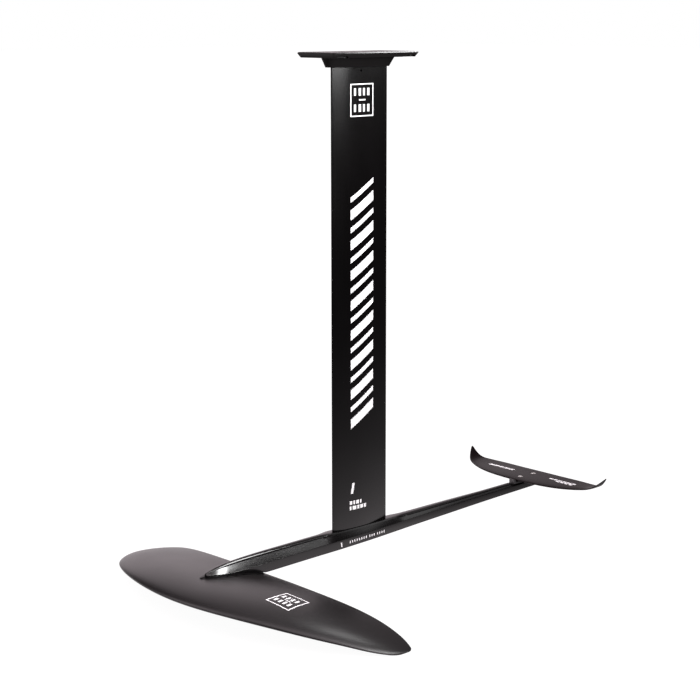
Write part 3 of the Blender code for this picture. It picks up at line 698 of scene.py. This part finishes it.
# ------------------------------------------------------------------ shim with its raised stop
b0, b1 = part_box("stab_shim")
side = [(-0.4365, b0.z), (-0.4365, -0.8903), (-0.4367, -0.8897), (-0.4374, -0.8894), (-0.4388, -0.8896), (-0.4400, -0.8901),
        (-0.4416, -0.8909), (-0.4423, -0.8912), (-0.4425, -0.8955), (-0.4430, b1.z - 0.0070), (-0.4450, b1.z - 0.0075)]
shim_top = min(stab_top(-0.4885, 0) - 0.0091, -0.8962)
shim_top = -0.8918 - 0.0909 * STAB_THICKNESS / 2 - 0.0006
side = side[:8] + [(-0.4424, shim_top + 0.0008), (-0.4432, shim_top), (-0.5255, shim_top), (-0.5260, shim_top - 0.0004), (-0.5260, b0.z)]
rings = []
for y, inset in ((-0.0066, 0.0004), (-0.0064, 0.00012), (-0.0061, 0.0), (0.0061, 0.0), (0.0064, 0.00012), (0.0066, 0.0004)):
    c = np.array([-0.4600, -0.8980])
    p = np.array(side)
    p = p + np.clip(c - p, -1, 1) * 0 
    p[:, 1] = np.where(p[:, 1] > shim_top + 1e-5, p[:, 1] - inset, p[:, 1])
    rings.append(np.stack([p[:, 0], np.full(len(p), y), p[:, 1]], axis=1))
shim = put("stab_shim_fine", *loft(rings), M_SHIM, 32)
carve(shim, [put("tool", *loft(rings_turned([(0.0037, -0.92), (0.0037, -0.88)], 48, centre=(x, 0, 0)))) for x in STAB_SCREW_X], angle=32)
finish_piece(shim, "shim_polymer", "stab_shim")

# ------------------------------------------------------------------ inserts stay as the CAD has them
for name, obj in frame["nodes"].items():
    if "insert" in name:
        obj.data.materials.clear()
        obj.data.materials.append(M_INSERT)


# ------------------------------------------------------------------ printed marks: plain bars and boxes
def decal(name, polygons, place, step, slot):
    """Thin skins of ink: flat outlines (s, t), cut finely, then laid on a surface by place(s, t, lift)."""
    bm = bmesh.new()
    for poly in polygons:
        bm.faces.new([bm.verts.new((float(s), float(t), 0.0)) for s, t in poly])
    pts = np.array([p for poly in polygons for p in poly], float)
    for axis in (0, 1):
        lo, hi = pts[:, axis].min(), pts[:, axis].max()
        k = math.floor(lo / step) + 1
        while k * step < hi:
            co, no = [0, 0, 0], [0, 0, 0]
            co[axis], no[axis] = k * step, 1
            bmesh.ops.bisect_plane(bm, geom=bm.verts[:] + bm.edges[:] + bm.faces[:], plane_co=co, plane_no=no, dist=1e-7)
            k += 1
    bm.verts.ensure_lookup_table()
    flat = [tuple(v.co) for v in bm.verts]
    out = bmesh.ops.extrude_face_region(bm, geom=bm.faces[:])
    top = {v for v in out["geom"] if isinstance(v, bmesh.types.BMVert)}
    for v in bm.verts:
        v.co = place(v.co.x, v.co.y, 0.00009 if v in top else -0.00006)
    bmesh.ops.recalc_face_normals(bm, faces=bm.faces)
    mesh = bpy.data.meshes.new(name)
    bm.to_mesh(mesh)
    bm.free()
    mesh.shade_smooth()
    mesh.set_sharp_from_angle(angle=math.radians(50))
    mesh.materials.append(M_INK)
    obj = bpy.data.objects.new(name, mesh)
    bpy.context.scene.collection.objects.link(obj)
    return finish_piece(obj, slot)



def on_mast(s, t, lift):  # s runs aft from the leading edge side, t is height
    return Vector((s, mast_y(s) + lift, t))


def rect(s0, t0, s1, t1, slant=0.0):
    return [(s0, t0), (s1, t0), (s1 + slant, t1), (s0 + slant, t1)]


def frame_box(s0, t0, s1, t1, w):
    return [rect(s0, t0, s1, t0 + w), rect(s0, t1 - w, s1, t1), rect(s0, t0 + w, s0 + w, t1 - w), rect(s1 - w, t0 + w, s1, t1 - w)]


# boxed mark near the top of the mast: an outline round two rows of short bars
polys = frame_box(-0.0302, -0.1178, 0.0289, -0.0577, 0.0020)
for row in (-0.0795, -0.1090):
    for k, wdt in enumerate((0.0046, 0.0058, 0.0046, 0.0058)):
        s0 = 0.0205 - k * 0.0113
        polys.append(rect(s0 - wdt, row, s0, row + 0.0135))
polys.append(rect(-0.0085, -0.0885, 0.0085, -0.0862))
decal("mast_mark_box", polys, on_mast, 0.004, "mast_anodised")

# tall column of slanted bars down the mast, wide and narrow by turns
polys = []
rise, z = 0.0340, -0.7050
for k in range(16):
    h = 0.0185 if k % 2 == 0 else 0.0095
    polys.append([(0.0286, z), (-0.0305, z + rise), (-0.0305, z + rise + h), (0.0286, z + h)])
    z += h + 0.01435
decal("mast_mark_bars", polys, on_mast, 0.004, "mast_anodised")

# small mark and two short rows near the foot
polys = [[(0.0290, -0.8320), (0.0235, -0.8320), (0.0195, -0.8112), (0.0250, -0.8112)]]
for row, widths in ((-0.8535, (0.006, 0.004, 0.007, 0.004)), (-0.8640, (0.004, 0.009, 0.005, 0.007, 0.006))):
    s = 0.0315
    for wdt in widths:
        polys.append(rect(s - wdt, row, s, row + 0.0072))
        s -= wdt + 0.0028
decal("mast_mark_foot", polys, on_mast, 0.004, "mast_anodised")


# dashes along the fuselage's lower side face
def on_fuselage(s, t, lift):
    w, wt, bottom, crease, top = fuselage_line(s)
    return Vector((s, w + lift, bottom + (crease - bottom) * t))


polys = [rect(0.0590, 0.26, 0.0616, 0.76, 0.0012)]
s = 0.0400
for k in range(15):
    if k in (8, 11):
        s -= 0.0030
    polys.append([(s, 0.40), (s - 0.0022, 0.40), (s - 0.0022, 0.66), (s, 0.66)])
    s -= 0.0060
decal("fuselage_mark_dashes", [[(q[0], q[1]) for q in p] for p in polys], on_fuselage, 0.05, "fuselage_anodised")


# boxed mark on the wing's top
def on_wing(s, t, lift):
    # s, t in the box's own directions, turned to lie along the swept half
    c0 = np.array((0.3304, 0.1758))
    e1, e2 = np.array((-0.985, -0.172)), np.array((-0.105, 0.9945))
    p = c0 + e1 * s + e2 * t
    return Vector((p[0], p[1], wing_height(p[0], p[1])[0] + lift))


polys = frame_box(-0.0290, -0.0270, 0.0290, 0.0270, 0.0024)
for col in (-0.0175, 0.0045):
    for k in range(4):
        t0 = -0.0195 + k * 0.0103
        polys.append(rect(col, t0, col + 0.0120, t0 + 0.0048))
polys.append(rect(-0.0012, -0.0075, 0.0010, 0.0075))
decal("wing_mark_box", polys, on_wing, 0.004, "wing_satin")


# slim marks on both halves of the stabiliser
def on_stab(s, t, lift):
    return Vector((s, t, stab_top(s, t) + lift))


polys = []
for k in range(5):
    t0 = -0.1150 + k * 0.0143
    polys.append([(-0.4960, t0 + 0.0024), (-0.4960, t0 + 0.0140), (-0.4885, t0 + 0.0116), (-0.4885, t0)])
for k in range(6):
    t0 = 0.0530 + k * 0.0121
    polys.append([(-0.4995, t0), (-0.4995, t0 + 0.0096), (-0.4935, t0 + 0.0096), (-0.4935, t0)])
for k in range(4):
    t0 = 0.0780 + k * 0.0115
    polys.append([(-0.4905, t0), (-0.4905, t0 + 0.0084), (-0.4850, t0 + 0.0084), (-0.4850, t0)])
decal("stabiliser_mark", polys, on_stab, 0.004, "stabiliser_satin")

# ------------------------------------------------------------------ floor, world and lights
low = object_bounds()[0].z
floor = put("floor", [(-40, -40, low - 0.0008), (40, -40, low - 0.0008), (40, 40, low - 0.0008), (-40, 40, low - 0.0008)], [[0, 1, 2, 3]])
# the floor looks evenly pale to the camera, but in reflections and bounce it carries a painted glow instead of real
# lighting
m = bpy.data.materials.new("floor_pale_painted_glow")
m.use_nodes = True
nt = m.node_tree
nt.nodes.clear()
out = nt.nodes.new("ShaderNodeOutputMaterial")
lp = nt.nodes.new("ShaderNodeLightPath")
seen_e = nt.nodes.new("ShaderNodeEmission")
seen_e.inputs[0].default_value = (1, 1, 1, 1)
seen_e.inputs[1].default_value = 0.955
seen_d = nt.nodes.new("ShaderNodeBsdfDiffuse")
seen_d.inputs[0].default_value = (0.12, 0.12, 0.12, 1)
seen = nt.nodes.new("ShaderNodeAddShader")
nt.links.new(seen_e.outputs[0], seen.inputs[0])
nt.links.new(seen_d.outputs[0], seen.inputs[1])
geo = nt.nodes.new("ShaderNodeNewGeometry")
xyz = nt.nodes.new("ShaderNodeSeparateXYZ")
nt.links.new(geo.outputs["Position"], xyz.inputs[0])
# painted glow: for every ray but camera rays the floor emits a painted pool of light, brightest close round the object
# and behind it, and falling off towards the camera's side
near_y = added(nt, xyz.outputs["Y"], added(nt, xyz.outputs["Y"], -0.40, "MULTIPLY"), "MAXIMUM")
radius = added(nt, added(nt, added(nt, xyz.outputs["X"], xyz.outputs["X"], "MULTIPLY"), added(nt, near_y, near_y, "MULTIPLY")), 0.5, "POWER")
# falloff of the painted glow by distance from the object
painted_glow_ramp = nt.nodes.new("ShaderNodeValToRGB")
painted_glow_ramp.color_ramp.interpolation = "EASE"
stops = ((0.0, 1.0), (0.10, 1.0), (0.165, 0.60), (0.25, 0.38), (0.37, 0.18), (0.72, 0.055), (1.0, 0.02))
while len(painted_glow_ramp.color_ramp.elements) < len(stops):
    painted_glow_ramp.color_ramp.elements.new(0.5)
for e, (pos, val) in zip(painted_glow_ramp.color_ramp.elements, stops):
    e.position = pos
for e, (pos, val) in zip(painted_glow_ramp.color_ramp.elements, stops):
    e.color = (val, val * 0.93, val * 0.955, 1)
nt.links.new(added(nt, radius, 1 / 3.0, "MULTIPLY"), painted_glow_ramp.inputs[0])
# painted glow: the floor's own emission stands in for light falling on it, seen only by reflected and bounced rays
floor_painted_glow = nt.nodes.new("ShaderNodeEmission")
floor_painted_glow.inputs[1].default_value = 1.15
nt.links.new(painted_glow_ramp.outputs["Color"], floor_painted_glow.inputs[0])
mix = nt.nodes.new("ShaderNodeMixShader")
nt.links.new(lp.outputs["Is Camera Ray"], mix.inputs[0])
nt.links.new(floor_painted_glow.outputs[0], mix.inputs[1])
nt.links.new(seen.outputs[0], mix.inputs[2])
nt.links.new(mix.outputs[0], out.inputs[0])
floor.data.materials.append(m)

world = bpy.data.worlds.new("studio")
bpy.context.scene.world = world
world.use_nodes = True
nt = world.node_tree
nt.nodes.clear()
out = nt.nodes.new("ShaderNodeOutputWorld")
lp = nt.nodes.new("ShaderNodeLightPath")
white = nt.nodes.new("ShaderNodeBackground")
white.inputs[0].default_value, white.inputs[1].default_value = (1, 1, 1, 1), 1.0
tc = nt.nodes.new("ShaderNodeTexCoord")
sep = nt.nodes.new("ShaderNodeSeparateXYZ")
nt.links.new(tc.outputs["Generated"], sep.inputs[0])
flat = nt.nodes.new("ShaderNodeVectorMath")
flat.operation = "MULTIPLY"
flat.inputs[1].default_value = (1, 1, 0)
nt.links.new(tc.outputs["Generated"], flat.inputs[0])
unit = nt.nodes.new("ShaderNodeVectorMath")
unit.operation = "NORMALIZE"
nt.links.new(flat.outputs[0], unit.inputs[0])


def toward(azimuth, wide, narrow, low, high):
    """Brightness by heading: high within narrow degrees of the azimuth, low beyond wide degrees."""
    d = nt.nodes.new("ShaderNodeVectorMath")
    d.operation = "DOT_PRODUCT"
    d.inputs[1].default_value = (math.cos(math.radians(azimuth)), math.sin(math.radians(azimuth)), 0)
    nt.links.new(unit.outputs[0], d.inputs[0])
    return ranged(nt, d.outputs["Value"], low, high, math.cos(math.radians(wide)), math.cos(math.radians(narrow)))


Z = sep.outputs["Z"]
behind = toward(-118.0, 25.0, 10.0, 0.0, 0.92)
behind = added(nt, behind, ranged(nt, Z, 1.0, 0.08, 0.42, 0.78), "MULTIPLY")
rest = toward(-118.0, 62.0, 24.0, 0.05, 0.22)
sky = ranged(nt, Z, 0.0, 0.26, 0.50, 0.95)
dome = added(nt, toward(47.0, 88.0, 45.0, 0.0, 1.7), ranged(nt, Z, 0.0, 1.0, 0.40, 0.68), "MULTIPLY")
left = added(nt, toward(-30.0, 26.0, 9.0, 0.0, 3.4), ranged(nt, Z, 1.0, 0.15, 0.05, 0.80), "MULTIPLY")
level = added(nt, added(nt, behind, rest), added(nt, sky, added(nt, dome, left)))
env = nt.nodes.new("ShaderNodeBackground")
env.inputs[0].default_value = (1.075, 0.955, 1.0, 1)
nt.links.new(level, env.inputs[1])
mx = nt.nodes.new("ShaderNodeMixShader")
nt.links.new(lp.outputs["Is Camera Ray"], mx.inputs[0])
nt.links.new(env.outputs[0], mx.inputs[1])
nt.links.new(white.outputs[0], mx.inputs[2])
nt.links.new(mx.outputs[0], out.inputs[0])


def softbox(name, centre, aim, width, height, radiance, spread=180.0):
    """A rectangular light. Power follows from the wanted brightness of its face."""
    data = bpy.data.lights.new(name, "AREA")
    data.shape, data.size, data.size_y = "RECTANGLE", width, height
    data.energy = radiance * math.pi * width * height
    data.spread = math.radians(spread)
    obj = bpy.data.objects.new(name, data)
    bpy.context.scene.collection.objects.link(obj)
    obj.location = centre
    obj.rotation_euler = (Vector(aim) - Vector(centre)).to_track_quat("-Z", "Y").to_euler()
    obj.visible_camera = False
    return obj


softbox("side_panel", (-0.04, 0.92, 0.29), (-0.03, 0.0, 0.25), 0.84, 0.62, 15.0)
softbox("side_fill", (-1.25, 0.95, 0.32), (0.0, 0.0, 0.2), 0.95, 0.66, 1.3)
softbox("nose_box", (0.051, 0.289, -0.548), (0.385, 0.0, -0.925), 0.20, 0.16, 2.2, 44.0)
softbox("plate_edge_box", (-0.30, 0.06, 0.25), (-0.065, 0.052, 0.0), 0.14, 0.17, 26.0)
